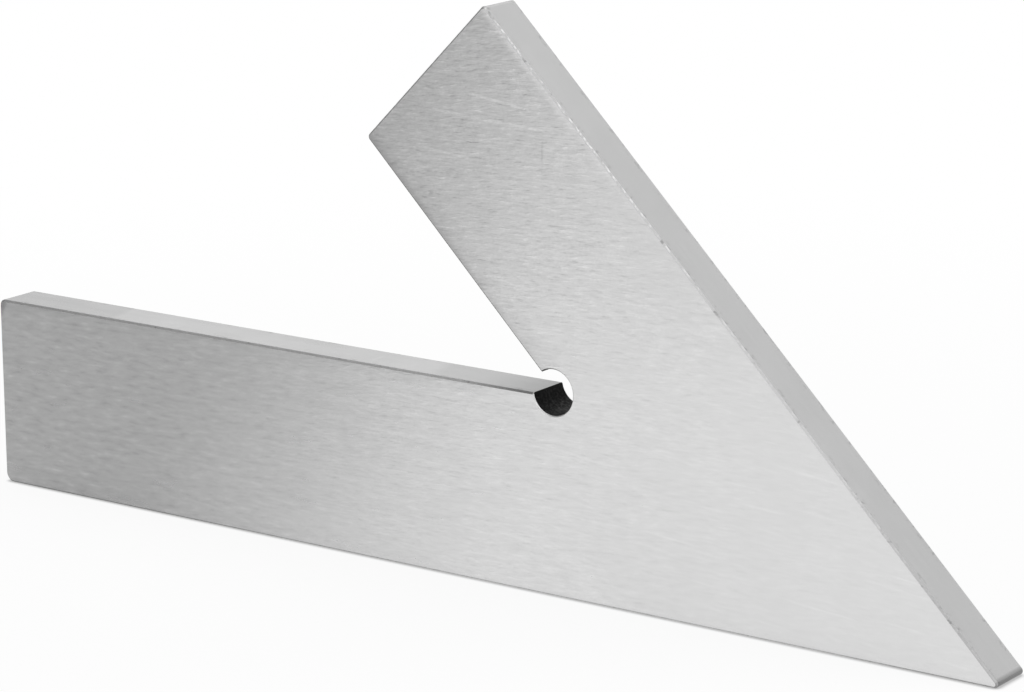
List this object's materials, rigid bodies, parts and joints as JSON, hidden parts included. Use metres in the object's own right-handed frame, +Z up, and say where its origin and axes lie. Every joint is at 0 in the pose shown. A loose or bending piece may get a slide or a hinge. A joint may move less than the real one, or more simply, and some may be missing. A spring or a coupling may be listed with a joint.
{
  "type": "mitre square",
  "caption": "Flat solid mitre square of ground steel, for marking and checking mitres. Its legs meet at 45 degrees, with a round relief hole at the inner corner.",
  "frame": {"origin": "bottom centre of the square's box, on the middle of the long leg's outer face, which it stands on", "axes": "+X along the long leg towards the acute tip, +Y through the thickness, +Z up"},
  "size_m": [0.12, 0.005, 0.0568],
  "materials": {
    "ground_steel": "fine ground steel, satin, with the grinding grain nearly along the long leg"
  },
  "bodies": {
    "root": {"mitre_square": "ground_steel"}
  },
  "joints": []
}
